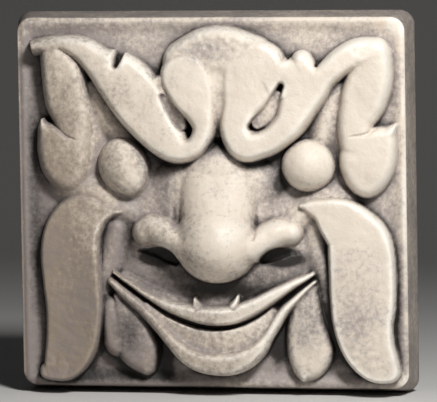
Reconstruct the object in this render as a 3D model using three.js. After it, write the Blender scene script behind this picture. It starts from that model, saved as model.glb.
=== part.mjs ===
// A square wall tile cast in one piece: a grinning mask of leaves in high relief on a dished field.
// Millimetres, +Z up. The flat back lies on the plane y = 0 with the origin at its centre,
// and the mask looks towards -Y.

import * as THREE from 'three';

// The slab: its front rim, its thickness, and the walls that flare out towards the back.
const FRONT_WIDTH = 191;
const FRONT_HEIGHT = 181.5;
const THICKNESS = 26;
const FLARE = 4.5;
const CORNER_RADIUS = 7;
const BACK_ROUNDING = 1.6;
// How far the top edge sits left of the bottom edge, because the casting is out of square.
const LEAN = 3;

// The dished field inside the rim: where it starts to fall, where it is level, and how deep it is.
const RIM_LEDGE = 0.5;
const RIM_WIDTH = 7.5;
const FIELD_DEPTH = 2.4;

// How far each part of the mask stands in front of the rim.
const NOSE_HEIGHT = 27.5;
const WING_HEIGHT = 18;
const CHIN_HEIGHT = 15.5;
const LIP_HEIGHT = 15;
const EYE_HEIGHT = 14;
const LOCK_HEIGHT = 13.5;
const CREST_HEIGHT = 11.5;
const WHISKER_HEIGHT = 11;
const EAR_HEIGHT = 9.5;
const LEAF_HEIGHT = 6.5;
const CHEEK_HEIGHT = 6;
const BROW_HEIGHT = 5.5;
const MUZZLE_HEIGHT = 3;
const FACE_HEIGHT = 3.5;

// How widely the edges of the carving roll over, from the whiskers' crisp edges to the nose's dome.
const CRISP_EDGE = 3;
const FIRM_EDGE = 4;
const LOCK_EDGE = 5;
const SOFT_EDGE = 6;
const FULL_EDGE = 9;
const NOSE_EDGE = 21;

// How much the tops of the carving are crowned, how much the left whisker is dished, and how steeply
// some tops tilt across their run.
const CROWN = 1.2;
const DISH = 1.1;
const EAR_TILT = 0.08;
const WHISKER_TILT = 0.2;
const CHIN_TILT = 0.2;
const LIP_TILT = 0.3;

// The carving's walls start below the field, and its cuts stop at these levels.
const WALL_FOOT = -4;
const FACE_FOOT = -6;
const MUZZLE_FOOT = -2;
const EYE_FOOT = -1;
const NOSE_FOOT = 0;
const NOSTRIL_FLOOR = 1.2;
const MOUTH_FLOOR = 5;

// How forms run into each other: from a crisp crease to a broad hollow.
const CRISP_BLEND = 0.8;
const PLAIN_BLEND = 1.2;
const SOFT_BLEND = 2;
const WIDE_BLEND = 3;
const BROAD_BLEND = 4;

// The front is first laid out in cells of this size, then thinned to this many triangles in all.
const CELL = 1;
const TRIANGLES = 9400;

// The carving's places are shares of the front's half width and half height, in hundredths.
const SHARE_X = FRONT_WIDTH / 200;
const SHARE_Z = FRONT_HEIGHT / 200;

// The section of a raised form: its wall, the power of its rounded edge, how much crisper a bite's
// edge is, and the share of a swell's half width in which it rises. A boss falls on beyond its edge
// by so much in a radius, out to so many radii. A line has so many steps between two stations, and
// its half width may grow by so much of its length.
const WALL_SLOPE = 6;
const WALL_REACH = 5;
const EDGE_POWER = 2.3;
const BITE_CRISPNESS = 2.2;
const SWELL_SHOULDER = 0.6;
const BOSS_FALL = 15;
const BOSS_REACH = 2;
const STEPS_PER_SPAN = 4;
const MOST_GROWTH = 0.95;
const SMALLEST = 1e-9;


function smoothMax(a, b, blend) {
  return 0.5 * (a + b + Math.hypot(a - b, blend));
}

function smoothMin(a, b, blend) {
  return 0.5 * (a + b - Math.hypot(a - b, blend));
}

function catmullRom(a, b, c, d, t) {
  const bend = 2 * a - 5 * b + 4 * c - d;
  const twist = 3 * b - a - 3 * c + d;
  return 0.5 * (2 * b + (c - a) * t + bend * t * t + twist * t * t * t);
}

// The smooth line through a form's stations, each [x, z, half width, share of the form's height].
function smoothLine(stations) {
  const last = stations.length - 1;
  const station = (i) => stations[THREE.MathUtils.clamp(i, 0, last)];
  const line = [];
  for (let i = 0; i < last; i += 1) {
    for (let step = 0; step < STEPS_PER_SPAN; step += 1) {
      const t = step / STEPS_PER_SPAN;
      line.push(station(i).map((_, k) => (
        catmullRom(station(i - 1)[k], station(i)[k], station(i + 1)[k], station(i + 2)[k], t))));
    }
  }
  line.push(stations[last]);
  return line.map(([x, z, half, share]) => ({
    x: x * SHARE_X, z: z * SHARE_Z, half: half * SHARE_X, share }));
}

// A line's reach, as a test of whether a point is near enough to be raised or cut by it.
function nearTo(line) {
  const reach = Math.max(...line.map((point) => point.half)) + WALL_REACH;
  const places = line.map((point) => new THREE.Vector2(point.x, point.z));
  const box = new THREE.Box2().setFromPoints(places).expandByScalar(reach);
  return (x, z) => x > box.min.x && x < box.max.x && z > box.min.y && z < box.max.y;
}

// How deep a point lies inside the band round a line, and there the band's half width, its share of
// the height, and the offset from the line, which is positive to the left of its run. Each span of
// the line is a round cone, whose widest reach to the point lies where the cone's slope leads.
function depthInside(line, x, z) {
  const found = { depth: -Infinity, half: 1, share: 1, side: 0 };
  for (let i = 0; i + 1 < line.length; i += 1) {
    const a = line[i];
    const b = line[i + 1];
    const runX = b.x - a.x;
    const runZ = b.z - a.z;
    const length = Math.max(Math.hypot(runX, runZ), SMALLEST);
    const awayX = x - a.x;
    const awayZ = z - a.z;
    const side = (runX * awayZ - runZ * awayX) / length;
    const growth = THREE.MathUtils.clamp((b.half - a.half) / length, -MOST_GROWTH, MOST_GROWTH);
    const along = (awayX * runX + awayZ * runZ) / length;
    const ahead = Math.abs(side) * growth / Math.sqrt(1 - growth * growth);
    const t = THREE.MathUtils.clamp((along + ahead) / length, 0, 1);
    const half = a.half + (b.half - a.half) * t;
    const depth = half - Math.hypot(awayX - runX * t, awayZ - runZ * t);
    if (depth > found.depth) {
      Object.assign(found, { depth, half, side, share: a.share + (b.share - a.share) * t });
    }
  }
  return found;
}

// A form that works only near its lines.
function formNear(lines, change) {
  const tests = lines.map(nearTo);
  return (x, z, before) => (tests.some((isNear) => isNear(x, z)) ? change(x, z, before) : before);
}

// The places of a cut need no share of a height.
function plainLine(stations) {
  return smoothLine(stations.map((station) => [...station, 1]));
}

// A raised form made of bands that flow into each other, less some bites: a steep wall, a rounded
// edge, and a top that is crowned or dished, and that may tilt across the band.
function band(height, edge, parts, options = {}) {
  const { crown = 0, bites = [], blend = PLAIN_BLEND, foot = WALL_FOOT, tilt = 0 } = options;
  const lines = parts.map(smoothLine);
  const bitten = bites.map(plainLine);
  return formNear(lines, (x, z, before) => {
    const found = lines.map((line) => depthInside(line, x, z));
    const { depth, half, share, side } = found.reduce((best, one) => (one.depth > best.depth ? one : best));
    const limits = bitten.map((line) => -BITE_CRISPNESS * depthInside(line, x, z).depth);
    const inside = Math.min(depth, ...limits);
    const wall = foot + WALL_SLOPE * Math.min(inside, 0);
    const roll = 1 - THREE.MathUtils.clamp(inside / Math.min(edge, half), 0, 1);
    const middle = 1 - THREE.MathUtils.clamp(inside / half, 0, 1);
    const rise = (height * share - foot + tilt * side) * Math.sqrt(1 - roll ** EDGE_POWER);
    const dome = inside > 0 ? crown * (1 - middle * middle) : 0;
    return smoothMax(before, wall + rise + dome, blend);
  });
}

// Soft ground along a line: level in the middle, then a smooth fall without a wall over a share of
// the half width.
function swell(height, stations, blend = PLAIN_BLEND, shoulder = SWELL_SHOULDER) {
  const line = smoothLine(stations);
  return formNear([line], (x, z, before) => {
    const { depth, half, share } = depthInside(line, x, z);
    const level = THREE.MathUtils.smoothstep(depth / half, 0, shoulder);
    return smoothMax(before, WALL_FOOT + (height * share - WALL_FOOT) * level, blend * level);
  });
}

// Ground that slopes away on both sides of a line.
function slope(height, stations, blend = PLAIN_BLEND) {
  return swell(height, stations, blend, 1);
}

// A cut along a line, down to a floor.
function cut(floor, stations) {
  const line = plainLine(stations);
  return formNear([line], (x, z, before) => {
    const { depth } = depthInside(line, x, z);
    return smoothMin(before, floor - WALL_SLOPE * Math.min(depth, 0), CRISP_BLEND);
  });
}

// A domed boss, elliptical in plan, turned by an angle in degrees.
function boss(height, [centreX, centreZ], [halfX, halfZ], foot, blend, turn = 0) {
  const cos = Math.cos(THREE.MathUtils.degToRad(turn));
  const sin = Math.sin(THREE.MathUtils.degToRad(turn));
  return (x, z, before) => {
    const dx = x - centreX * SHARE_X;
    const dz = z - centreZ * SHARE_Z;
    const across = (cos * dx + sin * dz) / (halfX * SHARE_X);
    const up = (cos * dz - sin * dx) / (halfZ * SHARE_X);
    const out = Math.hypot(across, up);
    const dome = out < 1 ? (height - foot) * Math.sqrt(1 - out * out) : BOSS_FALL * (1 - out);
    return out > BOSS_REACH ? before : smoothMax(before, foot + dome, blend);
  };
}


// The plate of the face and the brow, and the soft ground that the cheeks and ears rise from.
const face = [
  boss(FACE_HEIGHT, [1.5, -18], [54, 37], FACE_FOOT, WIDE_BLEND),
  boss(BROW_HEIGHT, [3, 8], [34, 22], WALL_FOOT, BROAD_BLEND),
  slope(CHEEK_HEIGHT, [
    [-78, 8, 12, 0.6], [-69, 7, 17, 0.8], [-59.5, 4, 18, 0.85], [-50, -1.5, 16, 0.75], [-42, -6, 13, 0.5],
  ]),
  slope(CHEEK_HEIGHT, [
    [68, 0, 13, 0.7], [60, 1, 16, 0.85], [52, -3, 16, 0.95], [44, -8, 15, 0.85], [36, -11, 12, 0.5],
  ]),
  slope(CHEEK_HEIGHT, [
    [-50, -14, 12, 0.5], [-53, -26, 12, 0.45], [-56, -38, 11.5, 0.65], [-57, -50, 10.5, 0.7],
  ]),
  slope(CHEEK_HEIGHT, [
    [53, -12, 12, 0.6], [55, -26, 13, 0.5], [58, -38, 12, 0.65], [59, -50, 11, 0.7],
    [61, -62, 11, 0.6], [62, -72, 10, 0.4],
  ]),
  slope(CHEEK_HEIGHT, [
    [-72, 60, 12, 0.8], [-68, 52, 16, 0.75], [-66, 42, 17, 0.75], [-66, 30, 17, 0.75],
    [-68, 16, 14, 0.7],
  ]),
  slope(CHEEK_HEIGHT, [[69, 60, 12, 0.6], [70, 47, 15, 0.6], [72, 32, 15, 0.65], [75, 16, 15, 0.7]]),
  slope(CHEEK_HEIGHT, [[-62, 64, 10, 0.55], [-58, 54, 13, 0.6], [-52, 43, 13, 0.5], [-42, 32, 10, 0.2]]),
  slope(CHEEK_HEIGHT, [[66, 64, 10, 0.5], [62, 53, 13, 0.6], [59, 41, 13, 0.55], [56, 31, 9, 0.3]]),
  band(BROW_HEIGHT, FIRM_EDGE, [[[4, 29, 4, 0.9], [3.5, 24, 8, 0.9]]]),
];

// Each ear is a long leaf that runs on into a second, pointed leaf below it.
const ears = [
  band(EAR_HEIGHT, SOFT_EDGE, [
    [
      [-80.5, 79, 8, 1.15], [-76, 70, 12, 1.1], [-75, 62, 12.4, 1], [-74, 55, 12.4, 0.9],
      [-71.8, 47, 11.2, 0.87], [-71, 38, 10.2, 0.86], [-72.5, 27, 10, 0.86],
    ],
    [
      [-87, 45, 1, 0.7], [-86, 40, 4.5, 0.75], [-81.5, 33.5, 9.5, 0.84], [-77, 28, 14, 0.86],
      [-76, 21.5, 13.5, 0.8], [-74, 15, 10, 0.7], [-72, 10.5, 5, 0.6],
    ],
  ], { crown: CROWN, tilt: EAR_TILT }),
  band(EAR_HEIGHT, SOFT_EDGE, [
    [
      [85, 79.5, 9.5, 1.1], [82.5, 67.5, 12.5, 1.05], [79.5, 58, 12.9, 0.98], [77.5, 51.6, 11.7, 0.94],
      [75.3, 45, 10.4, 0.92], [75, 37, 9.8, 0.92], [76.5, 27, 9.5, 0.92],
    ],
    [
      [95, 41.5, 1.5, 0.7], [92, 37.5, 4.5, 0.8], [87, 31.5, 10, 0.9], [81.5, 25.5, 15, 0.92],
      [80.5, 19.5, 14, 0.9], [80, 14, 11, 0.8], [80, 9, 6, 0.65],
    ],
  ], { crown: CROWN }),
];

// The crest, and the folds where the locks run into each other.
const crest = [
  band(CREST_HEIGHT, SOFT_EDGE, [[
    [-12, 76, 12.5, 0.85], [-1.5, 81, 13.5, 0.95], [8.5, 82, 13.5, 1], [21.5, 77.5, 13.5, 0.95],
  ]], { crown: CROWN, blend: SOFT_BLEND }),
  swell(LOCK_HEIGHT, [
    [6, 77, 13, 0.78], [5.5, 70, 14, 0.84], [5, 60, 13, 0.84], [4, 48, 10, 0.7], [4, 38, 5, 0.3],
  ]),
  swell(LOCK_HEIGHT, [[-25, 65, 6, 0.75], [-21.5, 57, 8, 0.68], [-18, 49, 8, 0.6], [-15, 42, 6, 0.52]]),
  swell(LOCK_HEIGHT, [[35, 57, 7, 0.6], [29, 47, 8, 0.58], [25, 43, 6, 0.56]]),
];

// The two forehead locks: each comes in from a top corner, turns up beside the middle and ends in a
// broad curl, with slits and notches bitten out of it. The right one carries a tuft.
const locks = [
  band(LOCK_HEIGHT, LOCK_EDGE, [[
    [-90.5, 84.3, 4.6, 0.72], [-83, 85, 5.4, 0.77], [-74.5, 85.5, 5.5, 0.82], [-65, 82.5, 7.5, 0.88],
    [-55.5, 74.5, 9.5, 0.9], [-45.5, 67, 14, 0.92], [-35.5, 54.5, 15.5, 0.95], [-27.5, 42.5, 13.5, 0.97],
    [-20, 32, 10, 1], [-13.5, 28.5, 7.5, 1], [-6.5, 31, 6.5, 1], [-2.5, 40.5, 7, 1],
    [-4.5, 51, 10, 0.97], [-8, 59.5, 13.5, 0.95], [-11.5, 67.5, 14.5, 0.9],
  ]], {
    crown: CROWN,
    bites: [
      [[-99, 95, 5], [-98.5, 86, 5.2], [-96, 77, 5]],
      [[-45.5, 88, 4], [-46, 80.5, 2], [-47.5, 74, 0.3]],
      [[-23, 57.5, 0.4], [-19, 51, 1.6], [-15.5, 45.5, 2.3], [-13, 40.5, 1.5]],
    ],
  }),
  band(LOCK_HEIGHT, LOCK_EDGE, [
    [
      [86, 82.5, 7, 0.75], [77, 80.5, 8.5, 0.85], [68.5, 76, 8, 0.9], [59.5, 68, 7.5, 0.92],
      [52, 61.5, 10.5, 0.93], [46.5, 54.5, 11, 0.95], [41.5, 43.5, 9, 1], [34, 35.5, 8, 1],
      [26, 31.5, 8, 1], [18, 31.5, 9.5, 1], [14, 40.5, 9.5, 0.97], [16.5, 51.5, 11, 0.95],
      [19.5, 60, 14, 0.93], [22, 67, 16.5, 0.9], [24.5, 71, 17, 0.9],
    ],
    [[48, 76.6, 6, 0.9], [48.5, 72, 7.8, 0.92], [47, 68, 9, 0.92], [45, 60, 11, 0.93]],
    [[26, 67, 12, 0.91], [38, 67, 11.5, 0.92], [48, 67, 11.5, 0.92]],
  ], {
    crown: CROWN,
    bites: [
      [[37.5, 63, 0.4], [34.5, 56.5, 1.4], [31, 49, 2.6], [26.5, 44.5, 2.6], [22.5, 41, 1.2]],
      [[40.5, 88, 4.5], [40.8, 82.5, 2.2], [41, 78, 0.3]],
      [[56.5, 87, 3.5], [56, 80, 1.4], [55.5, 74, 0.3]],
    ],
  }),
];

// The two broad whisker leaves: the left one is dished and leans outwards, the right one is flat.
const whiskers = [
  band(WHISKER_HEIGHT, CRISP_EDGE, [[
    [-47, -5, 1.5, 0.65], [-53.5, -5, 4, 0.7], [-60.5, -7, 7.5, 0.74], [-68, -9.5, 13, 0.77],
    [-72.5, -16.5, 15.3, 0.78], [-74, -27.5, 16.3, 0.8], [-73, -42.5, 16.3, 0.8], [-72, -58, 15.8, 0.8],
    [-73.5, -74, 14.5, 0.8], [-77, -85, 12, 0.8], [-82.5, -91, 7, 0.8], [-86.5, -92.5, 5, 0.76],
  ]], { crown: -DISH, tilt: WHISKER_TILT }),
  band(WHISKER_HEIGHT, CRISP_EDGE, [[
    [46, -1.5, 1, 0.6], [51, -2, 4, 0.72], [59, -4.5, 7.5, 0.84], [67, -10, 12.5, 0.94],
    [74.5, -18.5, 15.5, 1], [77, -27.5, 17.5, 1.04], [77.5, -51.5, 17.5, 1.04], [77.5, -65, 16, 1.04],
    [80, -77, 14, 1.04], [84.5, -85, 11.5, 1], [90, -90, 7, 0.9],
  ]], { crown: CROWN }),
];

// The two broad leaves between the whiskers and the chin.
const beardLeaves = [
  band(LEAF_HEIGHT, SOFT_EDGE, [
    [
      [-50, -51, 2.5, 0.8], [-47, -58, 7, 0.9], [-43, -66, 10.5, 0.95], [-41, -75, 12.5, 1],
      [-38, -81.5, 11, 1], [-35, -89, 6, 0.95],
    ],
    [[-53.5, -56, 6, 0.85], [-51.5, -67, 8, 0.92], [-48.5, -75, 10, 0.96]],
  ]),
  band(LEAF_HEIGHT, SOFT_EDGE, [[
    [52, -46, 4, 0.75], [49, -53, 8.6, 0.85], [48.5, -62, 10.4, 0.92], [49.2, -70.5, 12, 0.96],
    [50, -78, 12.8, 1], [49.5, -85, 10.6, 1], [47.5, -91, 6, 1], [46.3, -96, 1.2, 0.9],
  ]], { crown: CROWN, blend: CRISP_BLEND }),
];

// The slope into the mouth, the lower lip with the chin, the hollow muzzle and the upper lip, which
// carries two small fangs.
const mouth = [
  swell(CHIN_HEIGHT, [
    [-34, -56, 3.5, 0.54], [-26, -62.5, 6.5, 0.6], [-17.5, -69.5, 10, 0.64], [-7.5, -74.5, 12, 0.65],
    [4.5, -75, 14, 0.65], [16, -73, 13, 0.64], [25, -66.5, 10, 0.6], [31, -60.5, 6.5, 0.45],
  ]),
  band(CHIN_HEIGHT, FIRM_EDGE, [[
    [-52.5, -42.8, 2.4, 0.46], [-47.8, -47.3, 3.4, 0.53], [-43, -51.6, 4.1, 0.59],
    [-38.4, -55.4, 4.4, 0.64], [-32.4, -61.2, 4.4, 0.71], [-26.8, -67.6, 4.4, 0.78],
    [-20.5, -75, 4.8, 0.87], [-13.5, -81.8, 5.8, 0.94],
    [-5, -86, 6.6, 0.99], [6.5, -87, 7, 1], [16, -84.5, 6.4, 0.98], [24, -78.5, 5, 0.9],
    [29.5, -71, 3.7, 0.8], [33.5, -64, 3.6, 0.74], [37.5, -58, 3.3, 0.66], [43.5, -51.5, 2.5, 0.58],
    [49, -46, 1.8, 0.52], [53, -42.5, 1.2, 0.46],
  ]], { crown: CROWN, blend: SOFT_BLEND, tilt: CHIN_TILT }),
  boss(MUZZLE_HEIGHT, [2.5, -34], [50.5, 26], MUZZLE_FOOT, WIDE_BLEND),
  slope(LIP_HEIGHT, [
    [-46, -41, 7, 0.36], [-32, -50, 10, 0.44], [-22, -55.5, 12, 0.5], [-10, -59.5, 14.5, 0.56],
    [4, -61, 16, 0.58], [17, -58.5, 15, 0.56], [27, -53, 12.5, 0.52], [37, -47, 10, 0.46],
    [48, -40.5, 7, 0.38],
  ], SOFT_BLEND),
  band(LIP_HEIGHT, CRISP_EDGE, [
    [
      [-51, -38, 1, 0.46], [-46, -41.5, 1.5, 0.53], [-41.5, -44.5, 2, 0.6], [-32, -51, 2.7, 0.7],
      [-22, -56, 3.7, 0.83], [-11.5, -59.3, 4.7, 0.93], [-5, -60.8, 5.2, 0.97], [1.5, -61.3, 5.5, 1],
      [7, -61, 5.5, 1], [12.5, -60, 5.4, 0.97], [22.5, -55.5, 4.8, 0.87], [32.5, -49.5, 4, 0.77],
      [42.5, -43.5, 3, 0.67], [47.5, -41, 2.3, 0.57], [52, -38.3, 1.5, 0.5],
    ],
    [[-7.5, -57, 3.8, 0.8], [-8.8, -52, 1, 0.6]],
    [[12, -56.5, 4, 0.8], [13.6, -50.5, 1, 0.62]],
  ], { blend: SOFT_BLEND, tilt: LIP_TILT }),
  cut(MOUTH_FLOOR, [
    [-50, -40, 0.1], [-42, -46.5, 0.15], [-33, -53.6, 0.25], [-23.5, -60.1, 0.35], [-12.5, -65.1, 0.5],
    [1, -67.6, 0.6], [13, -66.2, 0.55], [23.5, -61.4, 0.4], [33.5, -54.2, 0.25], [43.5, -47, 0.15],
    [52, -41, 0.1],
  ]),
];

// The wings curl round the nostrils. The nose swells from under the locks to its tip.
const nose = [
  band(WING_HEIGHT, FULL_EDGE, [[
    [-34, -16, 8, 0.66], [-28.5, -14.7, 9, 0.8], [-21.7, -17.6, 9.2, 0.9], [-12, -24, 9, 1],
  ]], { blend: SOFT_BLEND }),
  band(WING_HEIGHT, FULL_EDGE, [[
    [40.5, -15.5, 7.4, 0.7], [35, -15.8, 8.4, 0.82], [28.3, -19, 8.8, 0.92], [20.5, -24, 9, 1],
  ]], { blend: SOFT_BLEND }),
  band(NOSE_HEIGHT, NOSE_EDGE, [[
    [3.5, 14, 17.5, 0.36], [3.5, 4, 19.5, 0.5], [3.5, -5, 20, 0.66], [3.5, -13, 19, 0.8],
  ]], { blend: SOFT_BLEND, foot: NOSE_FOOT }),
  boss(NOSE_HEIGHT, [3, -21.5], [22.5, 21.5], NOSE_FOOT, WIDE_BLEND),
  cut(NOSTRIL_FLOOR, [
    [-38, -26, 0.6], [-33, -26.4, 1.3], [-28, -26.8, 2.3], [-23, -29.3, 2.6], [-18.5, -32.5, 1],
  ]),
  cut(NOSTRIL_FLOOR, [
    [26.5, -31.5, 0.8], [31.5, -28.8, 2.5], [36.5, -26.8, 2.4], [41, -26.2, 1.4], [45, -26.8, 0.6],
  ]),
];

const eyes = [
  boss(EYE_HEIGHT, [-45.5, 19.5], [13, 15], EYE_FOOT, PLAIN_BLEND, 20),
  boss(EYE_HEIGHT, [50.3, 20.3], [14, 13.7], EYE_FOOT, PLAIN_BLEND),
];

const carving = [face, ears, crest, locks, whiskers, beardLeaves, mouth, nose, eyes].flat();


// How far the field lies behind the rim: level at the rim, then a smooth fall to the full depth.
function fieldAt(x, z) {
  const pastSide = Math.abs(x) - FRONT_WIDTH / 2;
  const pastEnd = Math.abs(z) - FRONT_HEIGHT / 2;
  const inset = -smoothMax(pastSide, pastEnd, CORNER_RADIUS / 2);
  return -FIELD_DEPTH * THREE.MathUtils.smoothstep(inset, RIM_LEDGE, RIM_WIDTH);
}

// The height of the front in front of the rim's plane.
function heightAt(x, z) {
  return carving.reduce((height, form) => form(x, z, height), fieldAt(x, z));
}


// Moves a point of the front's rectangle inwards wherever the rounded corners need it: each of the
// nested rectangles has its corners rounded in step with its size.
function roundCorner(x, z) {
  const level = Math.max(Math.abs(x) / (FRONT_WIDTH / 2), Math.abs(z) / (FRONT_HEIGHT / 2));
  const radius = CORNER_RADIUS * level;
  const coreX = Math.max((FRONT_WIDTH / 2) * level - radius, 0);
  const coreZ = Math.max((FRONT_HEIGHT / 2) * level - radius, 0);
  const nearX = THREE.MathUtils.clamp(x, -coreX, coreX);
  const nearZ = THREE.MathUtils.clamp(z, -coreZ, coreZ);
  const out = Math.hypot(x - nearX, z - nearZ);
  const shrink = Math.min(1, radius / Math.max(out, SMALLEST));
  return [nearX + (x - nearX) * shrink, nearZ + (z - nearZ) * shrink];
}

// The tile's closed body: the carved front, the flared walls and the flat back. The faces of the
// front come first.
function tileBody() {
  const columns = Math.round(FRONT_WIDTH / CELL);
  const rows = Math.round(FRONT_HEIGHT / CELL);
  const stride = columns + 1;
  const plan = [];
  for (let row = 0; row <= rows; row += 1) {
    for (let column = 0; column <= columns; column += 1) {
      plan.push(roundCorner((column / columns - 0.5) * FRONT_WIDTH, (row / rows - 0.5) * FRONT_HEIGHT));
    }
  }
  const lean = (z) => (LEAN * z) / FRONT_HEIGHT;
  const points = plan.map(([x, z]) => [x - lean(z), -THICKNESS - heightAt(x, z), z]);
  const faces = [];
  for (let row = 0; row < rows; row += 1) {
    for (let column = 0; column < columns; column += 1) {
      const a = row * stride + column;
      const [b, c, d] = [a + 1, a + stride + 1, a + stride];
      // The cell is split along the diagonal that is nearer to level.
      if (Math.abs(points[a][1] - points[c][1]) < Math.abs(points[b][1] - points[d][1])) {
        faces.push([a, b, c], [a, c, d]);
      } else {
        faces.push([a, b, d], [b, c, d]);
      }
    }
  }
  const frontFaces = faces.length;

  // The rim, once round from the bottom left corner, anticlockwise as seen from the front.
  const upTo = (count) => [...Array(count).keys()];
  const rim = [
    ...upTo(columns),
    ...upTo(rows).map((row) => row * stride + columns),
    ...upTo(columns).map((column) => rows * stride + columns - column),
    ...upTo(rows).map((row) => (rows - row) * stride),
  ];

  // A ring behind the rim, set out from it by a distance.
  const ring = (y, out) => rim.map((k) => {
    const x = plan[k][0] * (1 + (2 * out) / FRONT_WIDTH);
    const z = plan[k][1] * (1 + (2 * out) / FRONT_HEIGHT);
    return points.push([x - lean(z), y, z]) - 1;
  });
  const wallEnd = ring(-BACK_ROUNDING, FLARE);
  const backEdge = ring(0, FLARE - BACK_ROUNDING);
  for (const [from, to] of [[rim, wallEnd], [wallEnd, backEdge]]) {
    for (let k = 0; k < rim.length; k += 1) {
      const next = (k + 1) % rim.length;
      faces.push([from[k], to[k], to[next]], [from[k], to[next], from[next]]);
    }
  }
  const outline = backEdge.map((k) => new THREE.Vector2(points[k][0], points[k][2]));
  for (const [a, b, c] of THREE.ShapeUtils.triangulateShape(outline, [])) {
    faces.push([backEdge[a], backEdge[c], backEdge[b]]);
  }
  return { points, faces, frontFaces };
}


function distance(a, b) {
  return Math.hypot(a[0] - b[0], a[1] - b[1], a[2] - b[2]);
}

function crossOf([ax, ay, az], [bx, by, bz], [cx, cy, cz]) {
  const [ux, uy, uz, vx, vy, vz] = [bx - ax, by - ay, bz - az, cx - ax, cy - ay, cz - az];
  return [uy * vz - uz * vy, uz * vx - ux * vz, ux * vy - uy * vx];
}

// What a join costs for each square millimetre of its length, so that level ground goes in order.
const COST_OF_LENGTH = 1e-4;
// How nearly level the front's triangles may turn, as an area, and how far any triangle may turn, as
// a cosine.
const UPRIGHT_LIMIT = 0.02;
const TURN_LIMIT = 0.25;
// How thin a triangle may get: its height as a share of its longest side.
const SLIVER_LIMIT = 0.015;

// The waiting list of joins, cheapest first: a binary heap.
class CheapestFirst {
  constructor() {
    this.list = [];
  }

  add(entry) {
    const { list } = this;
    let k = list.push(entry) - 1;
    while (k > 0 && list[(k - 1) >> 1].cost > entry.cost) {
      list[k] = list[(k - 1) >> 1];
      k = (k - 1) >> 1;
    }
    list[k] = entry;
  }

  take() {
    const { list } = this;
    const first = list[0];
    const moved = list.pop();
    let k = 0;
    while (2 * k + 1 < list.length) {
      const left = 2 * k + 1;
      const right = left + 1;
      const child = right < list.length && list[right].cost < list[left].cost ? right : left;
      if (list[child].cost >= moved.cost) {
        break;
      }
      list[k] = list[child];
      k = child;
    }
    if (list.length > 0) {
      list[k] = moved;
    }
    return first;
  }
}

// Thins a closed body by drawing one end of an edge into the other, cheapest first. The cost is
// the squared distance of the kept end from the planes of all the triangles that both ends have
// stood for, by area. No triangle may turn over, and one of the front may not pass the upright.
function thinned({ points, faces, frontFaces }, target) {
  const facesAt = points.map(() => new Set());
  faces.forEach((face, f) => face.forEach((v) => facesAt[v].add(f)));
  const planes = points.map(() => new Float64Array(10));
  for (const face of faces) {
    const corner = points[face[0]];
    const normal = crossOf(...face.map((v) => points[v]));
    const size = Math.hypot(...normal) || SMALLEST;
    const [a, b, c] = normal.map((q) => q / size);
    const d = -(a * corner[0] + b * corner[1] + c * corner[2]);
    const terms = [a * a, a * b, a * c, a * d, b * b, b * c, b * d, c * c, c * d, d * d];
    face.forEach((v) => terms.forEach((term, k) => {
      planes[v][k] += term * size;
    }));
  }
  const stamp = new Int32Array(points.length);
  const waiting = new CheapestFirst();

  const offer = (gone, kept) => {
    const [x, y, z] = points[kept];
    const q = planes[gone].map((term, k) => term + planes[kept][k]);
    const away = points[gone].reduce((sum, p, k) => sum + (p - points[kept][k]) ** 2, 0);
    const cost = q[0] * x * x + q[4] * y * y + q[7] * z * z + q[9]
      + 2 * (q[1] * x * y + q[2] * x * z + q[3] * x + q[5] * y * z + q[6] * y + q[8] * z);
    const fullCost = Math.max(cost, 0) + COST_OF_LENGTH * away;
    waiting.add({ cost: fullCost, gone, kept, when: stamp[gone] + stamp[kept] });
  };
  const neighbours = (v) => {
    const found = new Set();
    facesAt[v].forEach((f) => faces[f].forEach((w) => found.add(w)));
    found.delete(v);
    return found;
  };
  const turnsOver = (f, gone, kept) => {
    const face = faces[f];
    const before = crossOf(...face.map((v) => points[v]));
    const after = crossOf(...face.map((v) => points[v === gone ? kept : v]));
    const dot = before[0] * after[0] + before[1] * after[1] + before[2] * after[2];
    const upright = f < frontFaces && after[1] > -UPRIGHT_LIMIT;
    const [a, b, c] = face.map((v) => points[v === gone ? kept : v]);
    const longest = Math.max(distance(a, b), distance(b, c), distance(c, a));
    const thin = Math.hypot(...after) < SLIVER_LIMIT * longest * longest;
    return upright || thin || dot < TURN_LIMIT * Math.hypot(...before) * Math.hypot(...after);
  };

  points.forEach((_, v) => neighbours(v).forEach((w) => offer(v, w)));
  let left = faces.length;
  while (left > target && waiting.list.length > 0) {
    const { gone, kept, when } = waiting.take();
    const stale = stamp[gone] < 0 || stamp[kept] < 0 || stamp[gone] + stamp[kept] !== when;
    if (stale) {
      continue;
    }
    const around = neighbours(kept);
    const shared = [...neighbours(gone)].filter((v) => around.has(v));
    const moved = [...facesAt[gone]].filter((f) => !faces[f].includes(kept));
    if (shared.length !== 2 || moved.some((f) => turnsOver(f, gone, kept))) {
      continue;
    }
    for (const f of [...facesAt[gone]]) {
      if (faces[f].includes(kept)) {
        faces[f].forEach((v) => facesAt[v].delete(f));
        faces[f] = null;
        left -= 1;
      } else {
        faces[f] = faces[f].map((v) => (v === gone ? kept : v));
        facesAt[kept].add(f);
      }
    }
    planes[gone].forEach((term, k) => {
      planes[kept][k] += term;
    });
    stamp[gone] = -1;
    stamp[kept] += 1;
    neighbours(kept).forEach((v) => {
      offer(v, kept);
      offer(kept, v);
    });
  }
  return { points, faces: faces.filter((face) => face !== null) };
}

function bodyGeometry({ points, faces }) {
  const used = [...new Set(faces.flat())];
  const place = new Map(used.map((v, k) => [v, k]));
  const geometry = new THREE.BufferGeometry();
  geometry.setAttribute('position', new THREE.Float32BufferAttribute(used.flatMap((v) => points[v]), 3));
  geometry.setIndex(faces.flat().map((v) => place.get(v)));
  geometry.computeVertexNormals();
  return geometry;
}


const castStone = new THREE.MeshStandardMaterial({ color: 0xcdc1b0, roughness: 0.62, metalness: 0 });

const tile = new THREE.Mesh(bodyGeometry(thinned(tileBody(), TRIANGLES)), castStone);
tile.name = 'mask_tile';

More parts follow.
